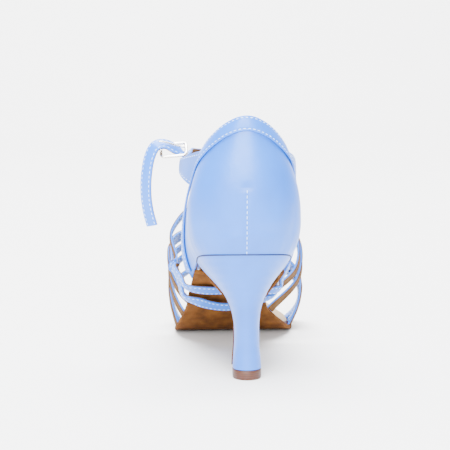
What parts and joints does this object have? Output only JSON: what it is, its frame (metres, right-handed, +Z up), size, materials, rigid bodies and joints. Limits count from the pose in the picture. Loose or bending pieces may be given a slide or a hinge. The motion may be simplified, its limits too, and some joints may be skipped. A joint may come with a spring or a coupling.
{
  "type": "left ballroom dance shoe",
  "caption": "Light-blue satin Latin dance sandal for the left foot, with a flared heel, ankle strap and nickel buckle.",
  "frame": {"origin": "middle of the heel tip's floor face", "axes": "+Y to the toe, -X to the outer side of the foot, +Z up from the floor"},
  "size_m": [0.1066, 0.2192, 0.1518],
  "materials": {
    "satin": "satin",
    "suede": "nap",
    "insole_lining": "smooth",
    "tip": "semi-gloss",
    "nickel": "polished"
  },
  "bodies": {
    "root": {"outsole": "suede", "insole": "insole_lining", "heel": "satin", "heel_tip": "tip", "counter": "satin", "collar_band": "satin", "wing_outer": "satin", "wing_inner": "satin", "vamp_straps": "satin", "ankle_strap": "satin", "buckle_frame": "nickel", "buckle_prong": "nickel"}
  },
  "joints": []
}
